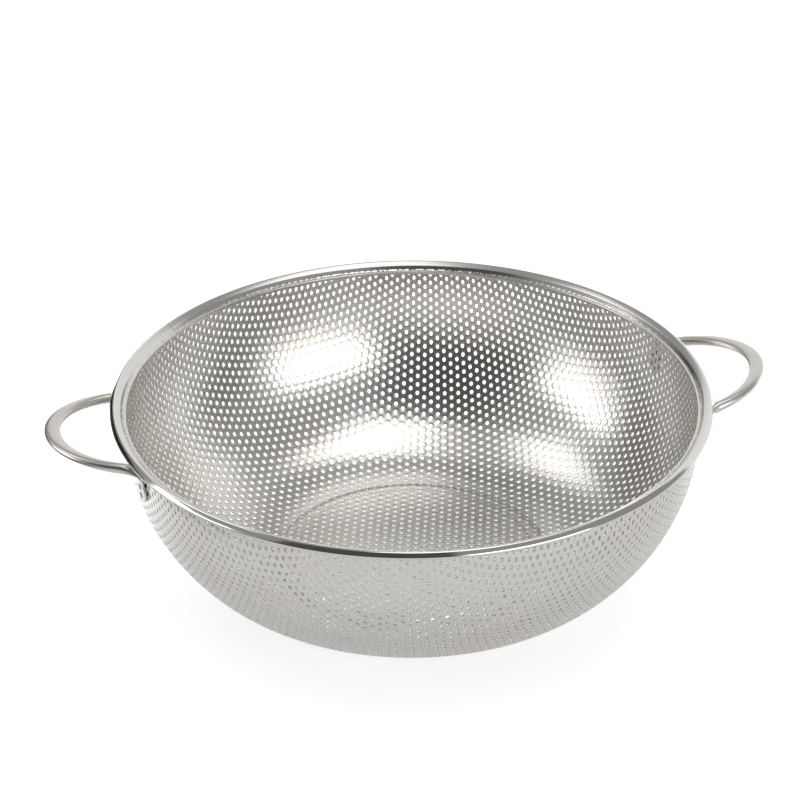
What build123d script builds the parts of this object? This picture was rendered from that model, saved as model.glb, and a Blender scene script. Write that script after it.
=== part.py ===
from build123d import *
from math import acos, asin, atan2, cos, degrees, hypot, radians, sin
import os

# A colander: a drawn bowl of perforated stainless sheet, a folded band clamped round its edge,
# and two looped handles spot-welded to the wall. Millimetres, +Z up. The origin is on the axis,
# on the surface it stands on, and +X runs through the right handle.

# Sheet of the bowl: a flat panel, a pressed foot ring, and a wall of two tangent arcs
sheet_thickness = 0.6
foot_radius = 68.0
foot_width = 2.0
foot_height = 1.2
foot_slope_width = 4.0
step_radius = 58.0
step_width = 1.4
step_height = 0.8
lower_wall_radius = 56.0
lower_wall_angle = 45.0
upper_wall_radius = 89.9
upper_wall_angle = 49.4

# Perforation, a triangular lattice of round holes punched before the sheet is drawn.
# One larger hole stands for each patch of them, so that the open share of the sheet is right.
hole_pitch = 4.4
hole_diameter = 2.4
hole_patch = 5
hole_sides = 6
lattice_turn = 15.8
stretch_start = 75.0
wall_stretch = 6.4
plain_edge = 2.5

# Band folded over the sheet's edge: a hem inside, a sloping strip, and a wired bead outside
band_thickness = 0.5
band_fit = 0.05
strip_slope = 29.8
strip_width = 6.0
hem_depth = 0.6
bead_radius = 1.9
bead_sides = 12
bead_reach = 4.86

# Handles, each a rod bent to half an ellipse, with a flattened crown and flat tabs at its ends
loop_overhang = 26.4
loop_reach = 39.6
loop_half_width = 34.2
rod_diameter = 5.0
rod_sides = 12
rod_clearance = 1.05
crown_width = 7.4
crown_thickness = 2.9
left_tip_rise = 2.85
right_tip_rise = 5.25
handle_skew = 1.2
bend_reach = 5.5
neck_width = 8.4
neck_thickness = 0.8
tab_spread = 1.8
tab_width = 11.0
tab_length = 15.0
tab_thickness = 1.2
tab_drop = 21.4
tab_fit = 0.15
tab_flats = 4
loop_steps = 8
bend_steps = 5

# Spot welds, in a row down each tab
weld_rows = 2
weld_sides = 8
weld_diameter = 3.2
weld_margin = 3.1
weld_spacing = 4.4
weld_height = 0.2
weld_fit = 0.05

# How far cutting and trimming shapes run past what they cut
overrun = 5.0


def around(radius, height, azimuth):
    """Point at a radius, a height and an angle round the axis."""
    return Vector(radius * cos(radians(azimuth)), radius * sin(radians(azimuth)), height)


# Middle line of the bowl's sheet, from the axis out to its raw edge under the band
ring_height = sheet_thickness / 2
base_height = ring_height + foot_height
panel_height = base_height + step_height
foot_inner = foot_radius - foot_width
shelf_width = bead_reach - bead_radius - band_fit

with BuildLine() as sheet_line:
    base_line = Polyline(
        (0, panel_height),
        (step_radius - step_width / 2, panel_height),
        (step_radius + step_width / 2, base_height),
        (foot_inner - foot_slope_width, base_height),
        (foot_inner, ring_height),
        (foot_radius, ring_height),
    )
    lower_wall = JernArc(
        base_line @ 1, base_line % 1, lower_wall_radius - sheet_thickness / 2, lower_wall_angle
    )
    upper_wall = JernArc(
        lower_wall @ 1, lower_wall % 1, upper_wall_radius - sheet_thickness / 2, upper_wall_angle
    )
    shelf = PolarLine(upper_wall @ 1, shelf_width, strip_slope)

sheet_wire = sheet_line.wires()[0]
wall_length = sheet_wire.length - shelf.length

# Perforation: the blank's lattice, carried along the sheet as the wall was stretched
solid_pitch = hole_pitch * hole_patch
solid_hole_radius = hole_diameter * hole_patch / 2
row_spacing = solid_pitch * sin(radians(60))
last_row = int(wall_length / row_spacing) + 1
last_column = int(wall_length / solid_pitch) + last_row


def drawn_length(blank_distance):
    """Length along the drawn sheet from the axis to a point of the blank."""
    if blank_distance < stretch_start:
        return blank_distance
    stretched_share = (blank_distance - stretch_start) / (wall_length - wall_stretch - stretch_start)
    return blank_distance + wall_stretch * stretched_share**3


def punch_plane(length, azimuth):
    """Plane under the sheet, square to the punch that made the hole at this place."""
    place = sheet_wire.position_at(length, position_mode=PositionMode.LENGTH)
    slope = sheet_wire.tangent_at(length, position_mode=PositionMode.LENGTH)
    if length < foot_radius:
        slope = Vector(1, 0)
    sheet_plane = Plane(
        origin=around(place.X, place.Y, azimuth),
        x_dir=around(slope.X, slope.Y, azimuth),
        z_dir=around(slope.Y, -slope.X, azimuth),
    )
    return sheet_plane.offset(-overrun)


punch_planes = []
for row in range(-last_row, last_row + 1):
    for column in range(-last_column, last_column + 1):
        along = (column + row / 2) * solid_pitch
        across = row * row_spacing
        length = drawn_length(hypot(along, across))
        if length + solid_hole_radius + plain_edge < wall_length:
            punch_planes.append(punch_plane(length, degrees(atan2(across, along)) + lattice_turn))

with BuildPart() as bowl:
    with BuildSketch(Plane.XZ):
        trace(sheet_wire, line_width=sheet_thickness)
    revolve(axis=Axis.Z)
    with BuildSketch(*punch_planes):
        RegularPolygon(radius=solid_hole_radius, side_count=hole_sides)
    extrude(amount=2 * overrun, mode=Mode.SUBTRACT, clean=False)

# Rim band: its strip lies on the sheet's turned-out shelf, and its bead closes over the raw edge
across_strip = Vector(-sin(radians(strip_slope)), cos(radians(strip_slope)))
strip_lift = (sheet_thickness + band_thickness) / 2 + band_fit
strip_end = shelf @ 0 + (shelf % 0) * bead_reach + across_strip * strip_lift
strip_start = strip_end - (shelf % 0) * strip_width
bead_centre = strip_end - across_strip * (bead_radius - band_thickness / 2)

with BuildPart() as rim_band:
    with BuildSketch(Plane.XZ):
        with BuildLine():
            Polyline(strip_start - Vector(0, hem_depth), strip_start, strip_end)
        trace(line_width=band_thickness)
        with Locations(bead_centre):
            RegularPolygon(radius=bead_radius, side_count=bead_sides)
    revolve(axis=Axis.Z)

# Handles: the places of the rod's tip, its legs under the bead, and its tabs on the wall
tip_radius = bead_centre.X + bead_radius + loop_overhang
loop_centre = tip_radius - loop_reach
leg_radius = bead_centre.X
leg_height = bead_centre.Y - bead_radius - rod_clearance - rod_diameter / 2
leg_turn = degrees(acos((leg_radius - loop_centre) / loop_reach))
wall_centre = upper_wall.center_point
tab_inside = upper_wall_radius + tab_fit
tab_seat_radius = wall_centre.X + tab_inside + tab_thickness / 2
tab_azimuth = degrees(asin((loop_half_width + tab_spread) / tab_seat_radius))
tab_bottom = bead_centre.Y - tab_drop
neck_height = tab_bottom + tab_length - tab_width / 2


def loop_station(step, tip_rise):
    """Plane and size of one section of the loop, from a leg at -loop_steps to the other."""
    turn = leg_turn * step / loop_steps
    rise_share = tip_rise / (tip_radius - leg_radius)
    reach = loop_reach * cos(radians(turn))
    height = leg_height + (loop_centre + reach - leg_radius) * rise_share
    run = -loop_reach * sin(radians(turn))
    heading = Vector(run, loop_half_width * cos(radians(turn)), run * rise_share)
    centre = Vector(loop_centre + reach, loop_half_width * sin(radians(turn)), height)
    plane = Plane(origin=centre, x_dir=heading.cross(Vector(-rise_share, 0, 1)), z_dir=heading)
    crown_share = cos(radians(90) * step / loop_steps)
    width = rod_diameter + (crown_width - rod_diameter) * crown_share
    thickness = rod_diameter + (crown_thickness - rod_diameter) * crown_share
    return plane, width, thickness


def bend_stations(side, tip_rise):
    """Sections of the bend from one leg down to its tab, where the rod is hammered flat."""
    leg_plane, _, _ = loop_station(side * loop_steps, tip_rise)
    inward = leg_plane.z_dir * side
    seat = around(tab_seat_radius, neck_height, side * tab_azimuth)
    seat_side = around(side, 0, side * (tab_azimuth + 90))
    bend = Bezier(
        leg_plane.origin,
        leg_plane.origin + inward * bend_reach,
        seat + Vector(0, 0, bend_reach),
        seat,
    )
    stations = []
    for step in range(1, bend_steps + 1):
        share = step / bend_steps
        outward = leg_plane.x_dir * (1 - share) + seat_side * share
        plane = Plane(origin=bend @ share, x_dir=outward, z_dir=(bend % share) * side)
        width = rod_diameter + (neck_width - rod_diameter) * share
        thickness = rod_diameter + (neck_thickness - rod_diameter) * share
        stations.append((plane, width, thickness))
    return stations


def rod_outline(width, thickness):
    """Corners of one section of the rod, on an ellipse."""
    corners = []
    for side in range(rod_sides):
        turn = radians(360) * side / rod_sides
        corners.append((width / 2 * cos(turn), thickness / 2 * sin(turn)))
    return corners


def tab_plane(side):
    """Upright plane on the axis that faces a tab, with its origin level with the tab's lower end."""
    return Plane(
        origin=(0, 0, tab_bottom),
        x_dir=around(1, 0, side * tab_azimuth + 90),
        z_dir=around(1, 0, side * tab_azimuth),
    )


def wall_layer(inside, thickness):
    """Ring of even thickness, pressed to follow the wall outside over the height of the tabs."""
    lowest = degrees(asin((tab_bottom - overrun - wall_centre.Y) / inside))
    highest = degrees(asin((tab_bottom + tab_length + overrun - wall_centre.Y) / inside))
    turns = [lowest + (highest - lowest) * step / tab_flats for step in range(tab_flats + 1)]
    with BuildPart() as layer:
        with BuildSketch(Plane.XZ):
            with BuildLine():
                Polyline(*[wall_centre + around(inside + thickness / 2, 0, turn) for turn in turns])
            trace(line_width=thickness)
        revolve(axis=Axis.Z)
    return layer.part


def weld_planes(side):
    """Planes on the wall outside, one under each weld of a tab, facing out."""
    planes = []
    for row in range(weld_rows):
        height = tab_bottom + weld_margin + row * weld_spacing
        slope = degrees(asin((height - wall_centre.Y) / upper_wall_radius))
        radius = wall_centre.X + upper_wall_radius * cos(radians(slope))
        outward = around(cos(radians(slope)), sin(radians(slope)), side * tab_azimuth)
        planes.append(Plane(origin=around(radius, height, side * tab_azimuth), z_dir=outward))
    return planes


def make_tab(side):
    """Flat tab with round ends that hugs the wall, with a hole where each weld nugget is."""
    with BuildPart() as tab:
        add(wall_layer(tab_inside, tab_thickness))
        with BuildSketch(tab_plane(side)):
            with Locations((0, tab_length / 2)):
                SlotOverall(tab_length, tab_width, rotation=90)
        extrude(amount=tip_radius, mode=Mode.INTERSECT)
        with BuildSketch(*weld_planes(side)):
            RegularPolygon(radius=weld_diameter / 2 + weld_fit, side_count=weld_sides)
        extrude(amount=overrun, mode=Mode.SUBTRACT)
    return tab.part


def make_handle(tip_rise):
    """Handle along +X: the flattened loop, its two bends and its two tabs."""
    stations = bend_stations(-1, tip_rise)[::-1]
    stations += [loop_station(step, tip_rise) for step in range(-loop_steps, loop_steps + 1)]
    stations += bend_stations(1, tip_rise)
    with BuildPart() as handle:
        for plane, width, thickness in stations:
            with BuildSketch(plane):
                Polygon(*rod_outline(width, thickness), align=None)
        loft(ruled=True)
        add([make_tab(-1), make_tab(1)])
    return handle.part


def make_welds():
    """Weld nuggets of the handle along +X, from the wall to just proud of its tabs."""
    planes = weld_planes(-1) + weld_planes(1)
    with BuildPart() as welds:
        with BuildSketch(*[plane.offset(weld_fit) for plane in planes]):
            RegularPolygon(radius=weld_diameter / 2, side_count=weld_sides)
        extrude(amount=tab_fit + tab_thickness + weld_height)
    return welds.part


right_turn = Rot(0, 0, handle_skew)
left_turn = Rot(0, 0, 180 - handle_skew)
pieces = {
    "bowl": bowl.part,
    "rim_band": rim_band.part,
    "right_handle": right_turn * make_handle(right_tip_rise),
    "left_handle": left_turn * make_handle(left_tip_rise),
    "right_handle_welds": right_turn * make_welds(),
    "left_handle_welds": left_turn * make_welds(),
}

os.makedirs("parts", exist_ok=True)
for name, piece in pieces.items():
    piece.label = name
    export_step(piece, f"parts/{name}.step")
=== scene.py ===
from math import acos, asin, cos, degrees, hypot, radians, sin, sqrt, tau

import bmesh
import bpy
import numpy as np
from mathutils import Matrix, Vector


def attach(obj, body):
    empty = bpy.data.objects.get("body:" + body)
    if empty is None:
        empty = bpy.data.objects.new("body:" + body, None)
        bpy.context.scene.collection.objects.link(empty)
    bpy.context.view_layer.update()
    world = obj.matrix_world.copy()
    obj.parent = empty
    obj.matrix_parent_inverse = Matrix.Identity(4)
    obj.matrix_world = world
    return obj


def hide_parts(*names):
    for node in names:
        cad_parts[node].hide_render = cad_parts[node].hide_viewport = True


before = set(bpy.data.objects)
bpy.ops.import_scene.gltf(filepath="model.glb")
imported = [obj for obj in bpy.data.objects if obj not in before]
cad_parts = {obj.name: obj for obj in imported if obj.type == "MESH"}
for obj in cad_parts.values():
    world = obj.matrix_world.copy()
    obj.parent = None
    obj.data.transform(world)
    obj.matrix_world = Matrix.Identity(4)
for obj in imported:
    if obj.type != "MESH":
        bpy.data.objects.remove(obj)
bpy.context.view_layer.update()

mm = 0.001

# The bowl is one round blank of thin stainless sheet. It is punched flat with a close lattice of
# round holes and then drawn, so its wall is two arcs, and the holes near the edge come out taller
# and narrower. Its bottom is pressed to a flat panel, a low step and the ring that it stands on.
sheet_thickness = 0.6 * mm
panel_radius = 57.3 * mm
panel_height = 2.32 * mm
step_run = 1.61 * mm
step_slope = 29.7
flat_run = 3.3 * mm
foot_slope_run = 4.18 * mm
foot_slope = 16.7
ring_run = 2.0 * mm
lower_wall_radius = 55.7 * mm
upper_wall_radius = 89.6 * mm
lower_wall_slope = 45.0
upper_wall_slope = 94.15
shelf_run = 2.7 * mm
shelf_slope = 34.0
pressed_bend = 0.9 * mm
hole_pitch = 4.421 * mm
hole_diameter = 2.1 * mm
hole_sides = 12
hole_roll = 5.0
hole_squeeze = 0.42
hole_growth = 0.25
lattice_turn = 76.36
lattice_shift = (-0.873 * mm, -1.405 * mm)
draw_start = 68.0 * mm
draw_run = 100.0 * mm
draw_squeeze = 4.89 * mm
draw_stretch = 4.71 * mm
grain_stretch = 3.04 * mm
grain_turn = -51.0
row_spacing = hole_pitch * sin(radians(60))
hole_edge_reach = hole_diameter * 0.6
trim_margin = hole_pitch / 4
merge_distance = hole_pitch / 100
sliver_length = hole_pitch / 50
foot_end = panel_radius + step_run + flat_run + foot_slope_run + ring_run
lower_ring_end = 113.0 * mm
middle_ring_end = 150.0 * mm
patch_size = 35.0 * mm
spot_size = 6.0 * mm
line_step = 0.05 * mm


def linear(code):
    """An sRGB hex colour as linear red, green, blue and full alpha."""
    shares = [int(code[place:place + 2], 16) / 255 for place in (1, 3, 5)]
    return [s / 12.92 if s <= 0.04045 else ((s + 0.055) / 1.055) ** 2.4 for s in shares] + [1.0]


def add_node(tree, kind, values=None, links=None, **settings):
    """A new node, with its settings, its sockets' own values and its links."""
    node = tree.nodes.new(kind)
    for name, value in settings.items():
        setattr(node, name, value)
    for socket, value in (values or {}).items():
        node.inputs[socket].default_value = value
    for socket, source in (links or {}).items():
        tree.links.new(source, node.inputs[socket])
    return node


def new_material(name):
    """A material with a shader that is all metal, and the tree and shader to build on."""
    material = bpy.data.materials.new(name)
    material.use_nodes = True
    shader = material.node_tree.nodes["Principled BSDF"]
    shader.inputs["Metallic"].default_value = 1.0
    return material, material.node_tree, shader


def select_only(piece):
    """Makes one object the only one selected, and the active one."""
    bpy.ops.object.select_all(action="DESELECT")
    piece.select_set(True)
    bpy.context.view_layer.objects.active = piece


def select_faces(piece, chosen):
    """Selects the faces of a piece for which chosen is true, in face mode."""
    select_only(piece)
    bpy.ops.object.mode_set(mode="EDIT")
    bpy.ops.mesh.select_mode(type="FACE")
    bpy.ops.mesh.select_all(action="DESELECT")
    bpy.ops.object.mode_set(mode="OBJECT")
    piece.data.polygons.foreach_set("select", chosen)
    bpy.ops.object.mode_set(mode="EDIT")


def vertex_places(mesh):
    """All vertices of a mesh as rows of x, y and z."""
    places = np.empty(len(mesh.vertices) * 3)
    mesh.vertices.foreach_get("co", places)
    return places.reshape(-1, 3)


def face_centres(mesh):
    """The middles of all faces of a mesh as rows of x, y and z."""
    centres = np.empty(len(mesh.polygons) * 3)
    mesh.polygons.foreach_get("center", centres)
    return centres.reshape(-1, 3)


def sheet_line():
    """Distance along the sheet's middle line from the axis, and the radius, height and slope there."""
    lower_run = lower_wall_radius * radians(lower_wall_slope)
    upper_run = upper_wall_radius * radians(upper_wall_slope - lower_wall_slope)
    slopes = [
        np.full(round(panel_radius / line_step), 0.0),
        np.full(round(step_run / line_step), -step_slope),
        np.full(round(flat_run / line_step), 0.0),
        np.full(round(foot_slope_run / line_step), -foot_slope),
        np.full(round(ring_run / line_step), 0.0),
        np.linspace(0.0, lower_wall_slope, round(lower_run / line_step)),
        np.linspace(lower_wall_slope, upper_wall_slope, round(upper_run / line_step)),
        np.full(round(shelf_run / line_step), shelf_slope),
    ]
    wall_top = sum(len(part) for part in slopes[:-1])
    slope = np.radians(np.concatenate(slopes))
    bend = round(pressed_bend / line_step)
    padded = np.pad(slope[:wall_top], bend, "edge")
    slope[:wall_top] = np.convolve(padded, np.ones(bend) / bend, "same")[bend:-bend]
    radius = np.concatenate([[0.0], np.cumsum(np.cos(slope)) * line_step])
    height = np.concatenate([[0.0], np.cumsum(np.sin(slope)) * line_step]) + panel_height
    slope = np.concatenate([slope, slope[-1:]])
    return np.arange(len(radius)) * line_step, radius, height, slope, wall_top * line_step


line_length, line_radius, line_height, line_slope, wall_length = sheet_line()
sheet_length = wall_length + shelf_run


def drawn_length(places):
    """Length along the drawn sheet from the axis to places of the flat blank, more along its grain."""
    distance = np.hypot(places[:, 0], places[:, 1])
    from_grain = np.arctan2(places[:, 1], places[:, 0]) - radians(grain_turn)
    share = np.maximum((distance - draw_start) / draw_run, 0.0)
    along_grain = grain_stretch * np.cos(2 * from_grain)
    return distance - draw_squeeze * share**2 + draw_stretch * share**3 + along_grain * share


def punch_blank():
    """The flat blank, one face thick: a ring of faces round each hole, out to six-sided borders."""
    bpy.ops.object.select_all(action="DESELECT")
    bpy.ops.mesh.primitive_circle_add(vertices=hole_sides, radius=hole_diameter / 2)
    blank = bpy.context.object
    corner_distance = hole_pitch / sqrt(3)
    bpy.ops.object.mode_set(mode="EDIT")
    bpy.ops.mesh.select_all(action="SELECT")
    bpy.ops.mesh.extrude_edges_move()
    bpy.ops.transform.resize(value=[corner_distance * 2 / hole_diameter] * 3)
    bpy.ops.object.mode_set(mode="OBJECT")
    for vertex in blank.data.vertices:
        turn = degrees(np.arctan2(vertex.co.y, vertex.co.x)) % 60
        if vertex.co.length > hole_edge_reach and min(turn, 60 - turn) < 180 / hole_sides:
            vertex.co *= hole_pitch / 2 / corner_distance
    half_rows = 2 * round((sheet_length + grain_stretch) / row_spacing / 2) + 2
    for turn in (0, 60):
        array = blank.modifiers.new("row", "ARRAY")
        array.count = 2 * half_rows + 1
        array.use_relative_offset = False
        array.use_constant_offset = True
        step = (hole_pitch * cos(radians(turn)), hole_pitch * sin(radians(turn)), 0)
        array.constant_offset_displace = step
        bpy.ops.object.modifier_apply(modifier=array.name)
    place = vertex_places(blank.data)
    place[:, 0] += lattice_shift[0] - half_rows * 1.5 * hole_pitch
    place[:, 1] += lattice_shift[1] - half_rows * row_spacing
    turn = radians(lattice_turn)
    x = place[:, 0] * cos(turn) - place[:, 1] * sin(turn)
    y = place[:, 0] * sin(turn) + place[:, 1] * cos(turn)
    blank.data.vertices.foreach_set("co", np.stack([x, y, np.zeros_like(x)], 1).ravel())
    blank.data.update()
    return blank


def trim_blank(blank):
    """Cuts the blank so that it draws to a level edge, and gives the pressed bends more faces."""
    select_faces(blank, drawn_length(face_centres(blank.data)) > sheet_length + trim_margin)
    bpy.ops.mesh.delete(type="FACE")
    bpy.ops.mesh.select_all(action="SELECT")
    bpy.ops.mesh.remove_doubles(threshold=merge_distance)
    bpy.ops.object.mode_set(mode="OBJECT")
    place = vertex_places(blank.data)
    over = np.maximum(drawn_length(place) - sheet_length, 0.0)
    place[:, :2] *= (1 - over / np.hypot(place[:, 0], place[:, 1]))[:, None]
    blank.data.vertices.foreach_set("co", place.ravel())
    centres = face_centres(blank.data)
    distance = np.hypot(centres[:, 0], centres[:, 1])
    pressed = (distance > panel_radius - 2 * pressed_bend) & (distance < foot_end + 2 * pressed_bend)
    select_faces(blank, pressed)
    bpy.ops.mesh.subdivide(number_cuts=1)
    bpy.ops.mesh.select_all(action="SELECT")
    bpy.ops.mesh.dissolve_degenerate(threshold=sliver_length)
    bpy.ops.object.mode_set(mode="OBJECT")


def toward_holes(flat):
    """For places of the flat blank, the way to the nearest hole's middle, nought at cell borders."""
    turn = radians(lattice_turn)
    along = np.array([cos(turn), sin(turn)])
    across = np.array([-sin(turn), cos(turn)])
    from_middle = np.stack([flat[:, :2] @ along, flat[:, :2] @ across], 1) - lattice_shift
    row = from_middle[:, 1] / row_spacing
    best = np.full((len(flat), 2), hole_pitch)
    for step in (0, 1):
        near_row = np.floor(row) + step
        near_column = np.round(from_middle[:, 0] / hole_pitch - near_row / 2)
        middle = np.stack([(near_column + near_row / 2) * hole_pitch, near_row * row_spacing], 1)
        way = middle - from_middle
        nearer = np.hypot(way[:, 0], way[:, 1]) < np.hypot(best[:, 0], best[:, 1])
        best[nearer] = way[nearer]
    distance = np.hypot(best[:, 0], best[:, 1])
    unit = best / np.maximum(distance, line_step)[:, None]
    edge = distance < hole_edge_reach
    return (unit[:, :1] * along + unit[:, 1:] * across) * edge[:, None]


def draw_sheet(piece):
    """Carries a thick piece of the flat blank to its drawn place, with the sheet's true normals."""
    mesh = piece.data
    flat = vertex_places(mesh)
    out = flat[:, :2] / np.hypot(flat[:, 0], flat[:, 1])[:, None]
    round_way = np.stack([-out[:, 1], out[:, 0]], 1)
    # The holes give more than the metal between them: narrower round the wall, and taller
    to_middle = toward_holes(flat)
    share = np.clip((drawn_length(flat) - draw_start) / (wall_length - draw_start), 0.0, 1.0)[:, None]
    in_round = (to_middle * round_way).sum(1)[:, None] * round_way * hole_squeeze
    in_out = (to_middle * out).sum(1)[:, None] * out * hole_growth
    flat[:, :2] += (in_round - in_out) * share * hole_diameter / 2
    length = drawn_length(flat)
    radius = np.interp(length, line_length, line_radius)
    height = np.interp(length, line_length, line_height)
    slope = np.interp(length, line_length, line_slope)
    reach = radius - np.sin(slope) * flat[:, 2]
    drawn = np.column_stack([out * reach[:, None], height + np.cos(slope) * flat[:, 2]])
    flat_normals = np.empty(len(mesh.polygons) * 3)
    mesh.polygons.foreach_get("normal", flat_normals)
    side = np.where(np.abs(flat_normals[2::3]) > 0.5, np.sign(flat_normals[2::3]), 0.0)
    loops = np.empty(len(mesh.polygons), dtype=int)
    mesh.polygons.foreach_get("loop_total", loops)
    side = np.repeat(side, loops)
    corner = np.empty(len(mesh.loops), dtype=int)
    mesh.loops.foreach_get("vertex_index", corner)
    # The sheet dips a little round every hole, from the punch
    dip = to_middle * sin(radians(hole_roll))
    dip_out = (dip * out).sum(1)
    dip_round = dip - dip_out[:, None] * out
    lean = np.sin(slope) - dip_out * np.cos(slope)
    normal = np.column_stack([-lean[:, None] * out + dip_round, np.cos(slope) + dip_out * np.sin(slope)])
    normal /= np.linalg.norm(normal, axis=1)[:, None]
    mesh.vertices.foreach_set("co", drawn.ravel())
    mesh.update()
    mesh.polygons.foreach_set("use_smooth", np.ones(len(mesh.polygons), dtype=bool))
    mesh.normals_split_custom_set(normal[corner] * side[:, None])


def bowl_material():
    """Bright annealed stainless sheet: soft wide highlights, a little uneven from the drawing."""
    material, tree, shader = new_material("drawn_bright_stainless")
    coordinates = add_node(tree, "ShaderNodeTexCoord")
    # Faint straw-coloured patches from the heat of cleaning and use, about 35 mm across
    patches = add_node(
        tree, "ShaderNodeTexNoise", values={"Scale": 1 / patch_size, "Detail": 2.0},
        links={"Vector": coordinates.outputs["Object"]},
    )
    tint = add_node(tree, "ShaderNodeValToRGB", links={"Fac": patches.outputs["Fac"]})
    tint.color_ramp.elements[0].position = 0.4
    tint.color_ramp.elements[0].color = linear("#DBDAD7")
    tint.color_ramp.elements[1].position = 0.75
    tint.color_ramp.elements[1].color = linear("#DDD9D0")
    # Polishing left the surface a little smoother here and there, in spots of about 6 mm
    spots = add_node(
        tree, "ShaderNodeTexNoise", values={"Scale": 1 / spot_size, "Detail": 3.0},
        links={"Vector": coordinates.outputs["Object"]},
    )
    gloss = add_node(
        tree, "ShaderNodeMapRange", values={"To Min": 0.21, "To Max": 0.27},
        links={"Value": spots.outputs["Fac"]},
    )
    tree.links.new(tint.outputs["Color"], shader.inputs["Base Color"])
    tree.links.new(gloss.outputs["Result"], shader.inputs["Roughness"])
    return material


sheet_steel = bowl_material()
blank = punch_blank()
trim_blank(blank)
# The one sheet as four rings of its blank, which meet edge to edge
bowl_rings = {
    "bowl_bottom": (0.0, foot_end),
    "bowl_lower_wall": (foot_end, lower_ring_end),
    "bowl_middle_wall": (lower_ring_end, middle_ring_end),
    "bowl_upper_wall": (middle_ring_end, 2 * sheet_length),
}
for name, (inner, outer) in bowl_rings.items():
    piece = bpy.data.objects.new(name, blank.data.copy())
    bpy.context.scene.collection.objects.link(piece)
    centres = face_centres(piece.data)
    distance = np.hypot(centres[:, 0], centres[:, 1])
    select_faces(piece, (distance < inner) | (distance >= outer))
    bpy.ops.mesh.delete(type="FACE")
    bpy.ops.object.mode_set(mode="OBJECT")
    solidify = piece.modifiers.new("sheet", "SOLIDIFY")
    solidify.thickness = sheet_thickness
    solidify.offset = 0.0
    bpy.ops.object.modifier_apply(modifier=solidify.name)
    draw_sheet(piece)
    piece.data.materials.append(sheet_steel)
    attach(piece, "root")
    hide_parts("bowl")
bpy.data.objects.remove(blank)

# The rim band is a strip of stainless steel that shows about 8 mm wide. Its outer edge is rolled to
# a polished bead that closes over the sheet's raw edge. Its satin face runs in from the bead, bends
# down a little more steeply, and ends in a folded nose that overhangs the bowl's wall.
band_thickness = 0.5 * mm
bead_middle = (138.32 * mm, 88.35 * mm)
bead_radius = 1.88 * mm
bead_round = 1.2 * mm
bead_facing = 40.0
strip_slope = 25.0
strip_course = ((2.3 * mm, 26.0, 32.0), (1.4 * mm, 55.0, 57.0), (0.9 * mm, 14.0, 6.0))
strip_points = 5
strip_blend = 0.3 * mm
hem_depth = 1.2 * mm
hem_round = 0.4 * mm
bead_wrap = 190.0
bead_opening = 40.0
brush_spacing = 0.15 * mm
handling_mark_size = 4.0 * mm
nose_points = 7
strip_samples = 120
band_steps = 300
arc_steps = 26


def around(radius, height, azimuth):
    """Place at a radius, a height and an angle round the axis."""
    return Vector((radius * cos(radians(azimuth)), radius * sin(radians(azimuth)), height))


def arc(centre, radius, start, end, count):
    """Points on an arc about a radius and a height, from one angle to another."""
    turns = np.radians(np.linspace(start, end, count))
    return [(centre[0] + radius * cos(turn), centre[1] + radius * sin(turn)) for turn in turns]


def spin_outline(name, outline, start, sweep, steps):
    """A ring or part of one: a closed outline in radius and height, spun about the axis."""
    mesh = bpy.data.meshes.new(name)
    corners = [around(radius, height, start) for radius, height in outline]
    edges = [(place, (place + 1) % len(corners)) for place in range(len(corners))]
    mesh.from_pydata(corners, edges, [])
    piece = bpy.data.objects.new(name, mesh)
    bpy.context.scene.collection.objects.link(piece)
    select_only(piece)
    bpy.ops.object.mode_set(mode="EDIT")
    bpy.ops.mesh.select_mode(type="VERT")
    bpy.ops.mesh.select_all(action="SELECT")
    if sweep < 360:
        bpy.ops.mesh.edge_face_add()
    bpy.ops.mesh.spin(steps=steps, angle=radians(sweep), center=(0, 0, 0), axis=(0, 0, 1))
    bpy.ops.mesh.select_all(action="SELECT")
    bpy.ops.mesh.remove_doubles(threshold=line_step / 10)
    bpy.ops.mesh.normals_make_consistent(inside=False)
    bpy.ops.object.mode_set(mode="OBJECT")
    bpy.ops.object.shade_smooth_by_angle(angle=radians(40))
    return piece


wall_top = Vector((
    float(np.interp(wall_length, line_length, line_radius)),
    float(np.interp(wall_length, line_length, line_height)),
))
bead_centre = Vector(bead_middle)
bead_down = Vector((sin(radians(bead_facing)), -cos(radians(bead_facing)))) * (bead_radius - bead_round)
bead_upper = bead_centre - bead_down
bead_lower = bead_centre + bead_down
strip_edge = bead_upper + Vector((-sin(radians(strip_slope)), cos(radians(strip_slope)))) * bead_round


def strip_line():
    """Outline of the strip's face from the bead inward: a shallow, a steep and again a shallow run."""
    total = sum(run for run, _, _ in strip_course)
    reach = (np.arange(strip_samples) + 0.5) * total / strip_samples
    starts = np.cumsum([0.0] + [run for run, _, _ in strip_course])
    slope = np.zeros(strip_samples)
    for (run, first, last), start in zip(strip_course, starts):
        inside = (reach >= start) & (reach < start + run)
        slope[inside] = first + (last - first) * (reach[inside] - start) / run
    blend = round(strip_blend * strip_samples / total) | 1
    slope = np.convolve(np.pad(slope, blend // 2, "edge"), np.ones(blend) / blend, "valid")
    drop = np.concatenate([[0.0], np.cumsum(np.tan(np.radians(slope)))]) * total / strip_samples
    line = [
        (strip_edge.x - place * total / strip_samples, strip_edge.y - drop[place])
        for place in range(0, strip_samples + 1, strip_points)
    ]
    return line, slope[-1]


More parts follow.
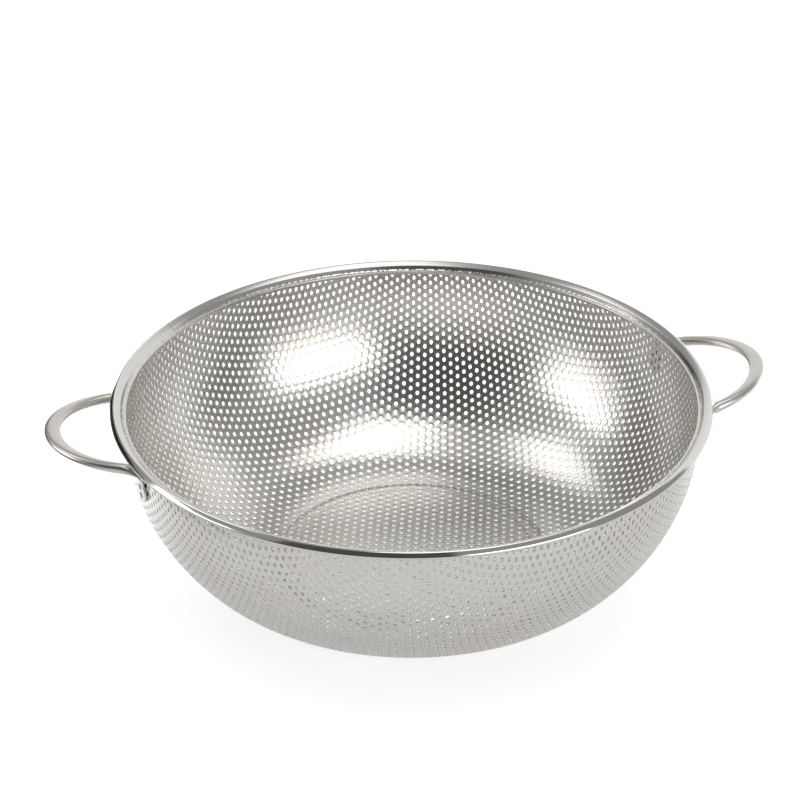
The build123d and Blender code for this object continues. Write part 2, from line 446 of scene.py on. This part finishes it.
def band_outline(grow):
    """Closed outline of the band in radius and height, grown by a small distance."""
    face, nose_slope = strip_line()
    end_turn = radians(90 + nose_slope)
    nose = Vector(face[-1]) - Vector((cos(end_turn), sin(end_turn))) * hem_round
    hem_bottom = nose.y - hem_depth
    nose_arc = arc(nose, hem_round + grow, 180, 90 + nose_slope, nose_points)
    bead_arc = arc(bead_upper, bead_round + grow, 90 + strip_slope, bead_facing, arc_steps // 2)
    bead_arc += arc(bead_lower, bead_round + grow, bead_facing, strip_slope - bead_wrap, arc_steps)
    under_turn = radians(90 + strip_slope + bead_opening)
    under = bead_centre + Vector((cos(under_turn), sin(under_turn))) * (bead_round - band_thickness)
    hem_side = nose.x - hem_round + band_thickness + grow
    return (
        [(nose.x - hem_round - grow, hem_bottom)] + nose_arc[:-1]
        + [(radius, height + grow) for radius, height in face[::-1]]
        + bead_arc[1:] + [tuple(under), (hem_side, nose.y), (hem_side, hem_bottom)]
    )


def band_materials():
    """Stainless strip, brushed to satin round the rim; and the same steel polished on the bead."""
    satin, tree, shader = new_material("satin_stainless_strip")
    coordinates = add_node(tree, "ShaderNodeTexCoord")
    split = add_node(tree, "ShaderNodeSeparateXYZ", links={"Vector": coordinates.outputs["Object"]})
    flat = add_node(
        tree, "ShaderNodeVectorMath", operation="MULTIPLY", values={1: (1.0, 1.0, 0.0)},
        links={0: coordinates.outputs["Object"]},
    )
    distance = add_node(tree, "ShaderNodeVectorMath", operation="LENGTH", links={0: flat.outputs[0]})
    ring = add_node(
        tree, "ShaderNodeCombineXYZ", links={"X": distance.outputs["Value"], "Y": split.outputs["Z"]},
    )
    # Brush lines run round the rim, about 0.15 mm apart
    lines = add_node(
        tree, "ShaderNodeTexNoise", values={"Scale": 1 / brush_spacing, "Detail": 2.0},
        links={"Vector": ring.outputs[0]},
    )
    gloss = add_node(
        tree, "ShaderNodeMapRange", values={"To Min": 0.17, "To Max": 0.25},
        links={"Value": lines.outputs["Fac"]},
    )
    bump = add_node(
        tree, "ShaderNodeBump", values={"Strength": 0.15, "Distance": 0.02 * mm},
        links={"Height": lines.outputs["Fac"]},
    )
    shader.inputs["Base Color"].default_value = linear("#D4D2CF")
    tree.links.new(gloss.outputs["Result"], shader.inputs["Roughness"])
    tree.links.new(bump.outputs["Normal"], shader.inputs["Normal"])
    polished, tree, shader = new_material("polished_stainless_bead")
    coordinates = add_node(tree, "ShaderNodeTexCoord")
    # Fine handling marks make the polish a little duller in spots of about 4 mm
    spots = add_node(
        tree, "ShaderNodeTexNoise", values={"Scale": 1 / handling_mark_size, "Detail": 4.0},
        links={"Vector": coordinates.outputs["Object"]},
    )
    gloss = add_node(
        tree, "ShaderNodeMapRange", values={"To Min": 0.08, "To Max": 0.16},
        links={"Value": spots.outputs["Fac"]},
    )
    shader.inputs["Base Color"].default_value = linear("#DAD8D4")
    tree.links.new(gloss.outputs["Result"], shader.inputs["Roughness"])
    return satin, polished


satin_strip, polished_bead = band_materials()
band = spin_outline("rim_band_steel", band_outline(0.0), 0, 360, band_steps)
band.data.materials.append(satin_strip)
band.data.materials.append(polished_bead)
for face in band.data.polygons:
    if hypot(face.center.x, face.center.y) > strip_edge.x:
        face.material_index = 1
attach(band, "root")
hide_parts("rim_band")

# The rim's butt weld is where the two ends of the strip meet at the left back. It was ground
# flush, and shows as a fine dark line with a faint straw-coloured heat mark.
weld_line_turn = 138.5
weld_line_width = 0.35 * mm
weld_line_height = 0.02 * mm
weld_grit = 0.5 * mm

weld_steel, tree, shader = new_material("ground_weld_stainless")
shader.inputs["Base Color"].default_value = linear("#A09A90")
coordinates = add_node(tree, "ShaderNodeTexCoord")
grit = add_node(
    tree, "ShaderNodeTexNoise", values={"Scale": 1 / weld_grit, "Detail": 3.0},
    links={"Vector": coordinates.outputs["Object"]},
)
gloss = add_node(
    tree, "ShaderNodeMapRange", values={"To Min": 0.35, "To Max": 0.55},
    links={"Value": grit.outputs["Fac"]},
)
tree.links.new(gloss.outputs["Result"], shader.inputs["Roughness"])
weld_line_sweep = degrees(weld_line_width / bead_centre.x)
rim_weld = spin_outline("rim_weld", band_outline(weld_line_height), weld_line_turn, weld_line_sweep, 2)
rim_weld.data.materials.append(weld_steel)
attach(rim_weld, "root")

# Each handle is a 5 mm stainless rod bent to half an ellipse. Its crown was pressed flat, and its
# ends turn down under the bead and are hammered to flat tabs that lie on the wall outside.
loop_overhang = 26.1 * mm
loop_reach = 39.6 * mm
loop_half_width = 34.2 * mm
rod_diameter = 5.0 * mm
rod_clearance = 1.05 * mm
crown_width = 7.4 * mm
crown_thickness = 2.9 * mm
handle_rise = {"right_handle": 5.25 * mm, "left_handle": 2.85 * mm}
handle_turn = {"right_handle": 1.2, "left_handle": 180 - 1.2}
bend_reach = 5.5 * mm
neck_width = 8.4 * mm
tab_spread = 1.8 * mm
tab_width = 11.0 * mm
tab_length = 15.0 * mm
tab_thickness = 1.2 * mm
tab_drop = 21.4 * mm
tab_fit = 0.15 * mm
shoulder_run = 3.0 * mm
tab_blunt_share = 0.01
round_corners = 2.0
crown_corners = 2.8
tab_corners = 4.0
rod_grain = 0.4 * mm
rod_sides = 24
loop_steps = 40
bend_steps = 14
tab_steps = 16

wall_outside = upper_wall_radius + sheet_thickness / 2
wall_top_turn = radians(upper_wall_slope - 90)
wall_centre = wall_top - Vector((cos(wall_top_turn), sin(wall_top_turn))) * upper_wall_radius
tab_line = wall_outside + tab_fit + tab_thickness / 2
tip_radius = bead_centre.x + bead_radius + loop_overhang
loop_centre = tip_radius - loop_reach
leg_radius = bead_centre.x
leg_height = bead_centre.y - bead_radius - rod_clearance - rod_diameter / 2
leg_turn = degrees(acos((leg_radius - loop_centre) / loop_reach))
tab_azimuth = degrees(asin((loop_half_width + tab_spread) / (wall_centre.x + tab_line)))
tab_bottom = bead_centre.y - tab_drop
neck_height = tab_bottom + tab_length - tab_width / 2


def station(place, heading, outward, width, thickness, corners):
    """One section of the rod: its frame as a matrix, its size, and its corners, 2 for an ellipse."""
    heading = heading.normalized()
    outward = (outward - heading * outward.dot(heading)).normalized()
    frame_axes = Matrix((outward, heading.cross(outward), heading)).transposed().to_4x4()
    return Matrix.Translation(place) @ frame_axes, width, thickness, corners


def loop_station(share, tip_rise):
    """Section of the loop, from one leg at -1 over the crown at 0 to the other leg at 1."""
    turn = radians(leg_turn * share)
    rise_share = tip_rise / (tip_radius - leg_radius)
    radius = loop_centre + loop_reach * cos(turn)
    height = leg_height + (radius - leg_radius) * rise_share
    place = Vector((radius, loop_half_width * sin(turn), height))
    run = -loop_reach * sin(turn)
    heading = Vector((run, loop_half_width * cos(turn), run * rise_share))
    outward = heading.cross(Vector((-rise_share, 0, 1)))
    crown_share = cos(radians(90) * share)
    width = rod_diameter + (crown_width - rod_diameter) * crown_share
    thickness = rod_diameter + (crown_thickness - rod_diameter) * crown_share
    corners = round_corners + (crown_corners - round_corners) * crown_share
    return station(place, heading, outward, width, thickness, corners)


def bend_station(share, tip_rise):
    """Section of the bend from the leg at 0 down to the neck of the tab at 1."""
    turn = radians(leg_turn)
    rise_share = tip_rise / (tip_radius - leg_radius)
    start = Vector((leg_radius, loop_half_width * sin(turn), leg_height))
    run = -loop_reach * sin(turn)
    heading = Vector((run, loop_half_width * cos(turn), run * rise_share)).normalized()
    leg_outward = heading.cross(Vector((-rise_share, 0, 1)))
    end = around(wall_centre.x + tab_line, neck_height, tab_azimuth)
    after_start = start + heading * bend_reach
    before_end = end + Vector((0, 0, bend_reach))
    rest = 1 - share
    place = (
        start * rest**3 + after_start * 3 * rest**2 * share
        + before_end * 3 * rest * share**2 + end * share**3
    )
    way = (
        (after_start - start) * rest**2 + (before_end - after_start) * 2 * rest * share
        + (end - before_end) * share**2
    )
    outward = leg_outward * rest + around(1, 0, tab_azimuth + 90) * share
    width = rod_diameter + (neck_width - rod_diameter) * share
    thickness = rod_diameter + (tab_thickness - rod_diameter) * share
    corners = round_corners + (tab_corners - round_corners) * share
    return station(place, way, outward, width, thickness, corners)


def tab_station(share):
    """Section of the tab from its neck at 0 down the wall to its round end at 1."""
    height = neck_height + (tab_bottom - neck_height) * sin(radians(90) * share)
    slope = asin((height - wall_centre.y) / tab_line)
    place = around(wall_centre.x + tab_line * cos(slope), height, tab_azimuth)
    heading = around(sin(slope), -cos(slope), tab_azimuth)
    shoulder = min((neck_height - height) / shoulder_run, 1.0)
    width = neck_width + (tab_width - neck_width) * sin(radians(90) * shoulder)
    from_end = min(height - tab_bottom, tab_width / 2)
    width *= sqrt(max(1 - (1 - from_end / (tab_width / 2)) ** 2, tab_blunt_share))
    return station(place, heading, around(1, 0, tab_azimuth + 90), width, tab_thickness, tab_corners)


def mirrored(one):
    """The same section on the other leg, headed the other way along the rod."""
    matrix, width, thickness, corners = one
    flip = Matrix.Diagonal((1, -1, 1, 1))
    return flip @ matrix @ flip, width, thickness, corners


def make_handle(name):
    """A handle as one closed skin over sections from the end of one tab to the end of the other."""
    tip_rise = handle_rise[name]
    half = [loop_station(place / loop_steps, tip_rise) for place in range(loop_steps)]
    half += [bend_station(place / bend_steps, tip_rise) for place in range(bend_steps)]
    half += [tab_station(place / tab_steps) for place in range(tab_steps + 1)]
    other = [mirrored(one) for one in half[:0:-1]]
    turned = Matrix.Rotation(radians(handle_turn[name]), 4, "Z")
    mesh = bpy.data.meshes.new(name)
    shape = bmesh.new()
    rings = []
    for matrix, width, thickness, corners in other + half:
        ring = []
        for side in range(rod_sides):
            turn = tau * side / rod_sides
            across = abs(cos(turn)) ** (2 / corners) * np.sign(cos(turn)) * width / 2
            through = abs(sin(turn)) ** (2 / corners) * np.sign(sin(turn)) * thickness / 2
            ring.append(shape.verts.new(turned @ matrix @ Vector((across, through, 0))))
        rings.append(ring)
        for side in range(rod_sides):
            shape.edges.new((ring[side], ring[(side + 1) % rod_sides]))
    shape.to_mesh(mesh)
    shape.free()
    handle = bpy.data.objects.new(name + "_rod", mesh)
    bpy.context.scene.collection.objects.link(handle)
    select_only(handle)
    bpy.ops.object.mode_set(mode="EDIT")
    bpy.ops.mesh.select_mode(type="EDGE")
    bpy.ops.mesh.select_all(action="SELECT")
    bpy.ops.mesh.bridge_edge_loops()
    bpy.ops.mesh.select_mode(type="VERT")
    bpy.ops.mesh.select_all(action="DESELECT")
    bpy.ops.mesh.select_non_manifold()
    bpy.ops.mesh.edge_face_add()
    bpy.ops.mesh.select_all(action="SELECT")
    bpy.ops.mesh.normals_make_consistent(inside=False)
    bpy.ops.object.mode_set(mode="OBJECT")
    bpy.ops.object.shade_smooth_by_angle(angle=radians(50))
    return handle


def rod_material():
    """Stainless rod, tumbled and linished to an even satin with a fine grain."""
    material, tree, shader = new_material("linished_stainless_rod")
    coordinates = add_node(tree, "ShaderNodeTexCoord")
    grain = add_node(
        tree, "ShaderNodeTexNoise", values={"Scale": 1 / rod_grain, "Detail": 3.0},
        links={"Vector": coordinates.outputs["Object"]},
    )
    gloss = add_node(
        tree, "ShaderNodeMapRange", values={"To Min": 0.24, "To Max": 0.34},
        links={"Value": grain.outputs["Fac"]},
    )
    bump = add_node(
        tree, "ShaderNodeBump", values={"Strength": 0.1, "Distance": 0.02 * mm},
        links={"Height": grain.outputs["Fac"]},
    )
    shader.inputs["Base Color"].default_value = linear("#D2CFCA")
    tree.links.new(gloss.outputs["Result"], shader.inputs["Roughness"])
    tree.links.new(bump.outputs["Normal"], shader.inputs["Normal"])
    return material


rod_steel = rod_material()
for name in ("right_handle", "left_handle"):
    handle = make_handle(name)
    handle.data.materials.append(rod_steel)
    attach(handle, "root")
    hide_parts(name)

# The spot welds that hold each tab to the wall, two on a tab. The electrode left each one as a
# shallow round button with a flat, slightly discoloured top.
weld_diameter = 3.2 * mm
weld_margin = 3.1 * mm
weld_spacing = 4.4 * mm
weld_height = 0.2 * mm
weld_crown_shares = ((0.6, 0.9), (0.4, 0.72))
welds_on_tab = 2
weld_sides = 24


def make_welds(name):
    """The four weld buttons of one handle, as one piece."""
    buttons = []
    turned = Matrix.Rotation(radians(handle_turn[name]), 4, "Z")
    for side in (-1, 1):
        for row in range(welds_on_tab):
            height = tab_bottom + weld_margin + row * weld_spacing
            slope = asin((height - wall_centre.y) / tab_line)
            outward = around(cos(slope), sin(slope), side * tab_azimuth)
            surface = tab_line + tab_thickness / 2
            place = around(wall_centre.x + surface * cos(slope), 0, side * tab_azimuth)
            place.z = wall_centre.y + surface * sin(slope)
            bpy.ops.object.select_all(action="DESELECT")
            bpy.ops.mesh.primitive_circle_add(
                vertices=weld_sides, radius=weld_diameter / 2, fill_type="NGON",
            )
            button = bpy.context.object
            bpy.ops.object.mode_set(mode="EDIT")
            bpy.ops.mesh.select_all(action="SELECT")
            for rise, shrink in weld_crown_shares:
                lift = {"value": (0, 0, weld_height * rise)}
                bpy.ops.mesh.extrude_region_move(TRANSFORM_OT_translate=lift)
                bpy.ops.transform.resize(value=(shrink, shrink, 1))
            bpy.ops.mesh.select_all(action="SELECT")
            bpy.ops.mesh.normals_make_consistent(inside=False)
            bpy.ops.object.mode_set(mode="OBJECT")
            facing = outward.to_track_quat("Z", "Y").to_matrix().to_4x4()
            button.data.transform(turned @ Matrix.Translation(place) @ facing)
            buttons.append(button)
    bpy.ops.object.select_all(action="DESELECT")
    for button in buttons:
        button.select_set(True)
    bpy.context.view_layer.objects.active = buttons[0]
    bpy.ops.object.join()
    bpy.ops.object.shade_smooth_by_angle(angle=radians(35))
    welds = bpy.context.object
    welds.name = name + "_spot_welds"
    return welds


for name in ("right_handle", "left_handle"):
    welds = make_welds(name)
    welds.data.materials.append(weld_steel)
    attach(welds, "root")
    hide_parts(name + "_welds")

# The studio: a wide floor of pale paper in a grey room. Four large soft lamps and a light backdrop
# make the bright patches in the steel. A black flag, a dark cloth on the floor and the dark side of
# the room make its dark lines. The camera stands 1.26 m off.
floor_size = 12.0
# A painted pool of light on the floor, seen only in the steel's reflections, dim in front and bright
# behind
painted_pool_start = -50.0 * mm
painted_pool_end = 250.0 * mm
painted_pool_front_glow = 0.22
painted_pool_back_glow = 1.9
paper_glow = 0.57
bpy.ops.object.select_all(action="DESELECT")
bpy.ops.mesh.primitive_plane_add(size=floor_size, location=(0, 0, 0))
floor = bpy.context.object
floor.name = "floor"
floor_material = bpy.data.materials.new("pale_paper")
floor_material.use_nodes = True
floor_tree = floor_material.node_tree
paper = floor_tree.nodes["Principled BSDF"]
paper.inputs["Base Color"].default_value = linear("#E8E8EA")
paper.inputs["Roughness"].default_value = 0.9
# The camera sees the paper as white. For the metal, a painted pool of light lies on it, dim in front of
# the bowl and bright behind it, standing in for the backdrop's own light falling there.
place = add_node(floor_tree, "ShaderNodeTexCoord")
split = add_node(floor_tree, "ShaderNodeSeparateXYZ", links={"Vector": place.outputs["Object"]})
painted_light_pool = add_node(
    floor_tree, "ShaderNodeMapRange", interpolation_type="SMOOTHSTEP",
    values={
        "From Min": painted_pool_start, "From Max": painted_pool_end,
        "To Min": painted_pool_front_glow, "To Max": painted_pool_back_glow,
    },
    links={"Value": split.outputs["Y"]},
)
path = add_node(floor_tree, "ShaderNodeLightPath")
seen = add_node(
    floor_tree, "ShaderNodeMath", operation="MULTIPLY", values={1: paper_glow},
    links={0: path.outputs["Is Camera Ray"]},
)
fill = add_node(
    floor_tree, "ShaderNodeMath", operation="MULTIPLY_ADD",
    links={0: path.outputs["Is Glossy Ray"], 1: painted_light_pool.outputs["Result"], 2: seen.outputs[0]},
)
white = add_node(floor_tree, "ShaderNodeEmission", values={"Color": linear("#FFFFFF")})
floor_tree.links.new(fill.outputs[0], white.inputs["Strength"])
both = add_node(floor_tree, "ShaderNodeAddShader", links={0: paper.outputs[0], 1: white.outputs[0]})
floor_tree.links.new(both.outputs[0], floor_tree.nodes["Material Output"].inputs["Surface"])
floor.data.materials.append(floor_material)

view_turn = -10.8
view_rise = 29.25
view_distance = 1255.6 * mm
view_roll = -0.42
view_lens = 121.5
view_aim = Vector((-5.38 * mm, 1.03 * mm, 85.95 * mm))


def toward(turn, rise):
    """Direction out from the bowl: a turn to the right from straight toward the camera, and a rise."""
    azimuth = radians(view_turn + turn)
    level = cos(radians(rise))
    return Vector((sin(azimuth) * level, -cos(azimuth) * level, sin(radians(rise))))


def aimed(place, right, up, back):
    """Matrix of a lamp or a camera at a place, from its own right, up and back directions."""
    return Matrix.Translation(place) @ Matrix((right, up, back)).transposed().to_4x4()


def add_lamp(name, turn, rise, distance, width, height, watts):
    """A soft box that faces the bowl, its width level."""
    light = bpy.data.lights.new(name, "AREA")
    light.shape = "RECTANGLE"
    light.size = width
    light.size_y = height
    light.energy = watts
    lamp = bpy.data.objects.new(name, light)
    bpy.context.scene.collection.objects.link(lamp)
    out = toward(turn, rise)
    level = toward(turn + 90, 0)
    lamp.matrix_world = aimed(out * distance, level, out.cross(level), out)


add_lamp("right_soft_box", turn=40, rise=16, distance=1.6, width=1.25, height=0.85, watts=7.9)
add_lamp("left_soft_box", turn=-83, rise=13, distance=1.6, width=1.05, height=0.8, watts=7.0)
add_lamp("overhead_soft_box", turn=78, rise=81, distance=1.6, width=1.25, height=0.85, watts=4.8)
add_lamp("high_left_soft_box", turn=-112, rise=51, distance=1.6, width=0.9, height=0.7, watts=2.6)


def add_card(name, left_turn, right_turn, distance, height, brightness):
    """A large card that stands on the floor between two directions, and that the camera can't see."""
    bpy.ops.object.select_all(action="DESELECT")
    bpy.ops.mesh.primitive_plane_add(size=1)
    card = bpy.context.object
    card.name = name
    left = toward(left_turn, 0) * distance
    right = toward(right_turn, 0) * distance
    rise = Vector((0, 0, height))
    for vertex, place in zip(card.data.vertices, (left, right, left + rise, right + rise)):
        vertex.co = place
    paint = bpy.data.materials.new(name + "_paint")
    paint.use_nodes = True
    tree = paint.node_tree
    glow = add_node(
        tree, "ShaderNodeEmission", values={"Color": linear("#FFFFFF"), "Strength": brightness},
    )
    # The camera looks through it
    clear = add_node(tree, "ShaderNodeBsdfTransparent")
    path = add_node(tree, "ShaderNodeLightPath")
    either = add_node(
        tree, "ShaderNodeMixShader",
        links={0: path.outputs["Is Camera Ray"], 1: glow.outputs[0], 2: clear.outputs[0]},
    )
    tree.links.new(either.outputs[0], tree.nodes["Material Output"].inputs["Surface"])
    card.data.materials.append(paint)


add_card("light_backdrop", left_turn=200, right_turn=110, distance=1.5, height=1.1, brightness=1.0)
add_card("black_flag", left_turn=256, right_turn=206, distance=1.4, height=0.35, brightness=0.02)
add_card("dark_room_side", left_turn=17, right_turn=-52, distance=2.2, height=3.8, brightness=0.08)

# A dark cloth lies on the floor at the left, outside the view, and darkens the steel on that side
cloth_width = 0.7
cloth_length = 1.6
cloth_to_left = 0.65
cloth_behind = 0.5
cloth_turn = 5.7
bpy.ops.object.select_all(action="DESELECT")
bpy.ops.mesh.primitive_plane_add(size=1)
dark_cloth = bpy.context.object
dark_cloth.name = "dark_cloth"
dark_cloth.location = toward(-90, 0) * cloth_to_left + toward(180, 0) * cloth_behind + Vector((0, 0, mm))
dark_cloth.scale = (cloth_width, cloth_length, 1.0)
dark_cloth.rotation_euler = (0, 0, radians(view_turn + cloth_turn))
dark_cloth.data.materials.append(bpy.data.materials["black_flag_paint"])

# The room's light is grey, and the camera sees white beyond the floor
room_glow = 0.3325
world = bpy.data.worlds.new("room")
bpy.context.scene.world = world
world.use_nodes = True
room = world.node_tree.nodes["Background"]
room.inputs["Color"].default_value = linear("#FFFFFF")
world_path = add_node(world.node_tree, "ShaderNodeLightPath")
world_strength = add_node(
    world.node_tree, "ShaderNodeMapRange", values={"To Min": room_glow, "To Max": 1.0},
    links={"Value": world_path.outputs["Is Camera Ray"]},
)
world.node_tree.links.new(world_strength.outputs["Result"], room.inputs["Strength"])

camera_data = bpy.data.cameras.new("camera")
camera_data.lens = view_lens
camera = bpy.data.objects.new("camera", camera_data)
bpy.context.scene.collection.objects.link(camera)
back = toward(0, view_rise)
level_right = toward(90, 0)
level_up = back.cross(level_right)
roll = radians(view_roll)
right = level_right * cos(roll) + level_up * sin(roll)
up = level_up * cos(roll) - level_right * sin(roll)
camera.matrix_world = aimed(view_aim + back * view_distance, right, up, back)
bpy.context.scene.camera = camera
bpy.context.scene.view_settings.view_transform = "Standard"
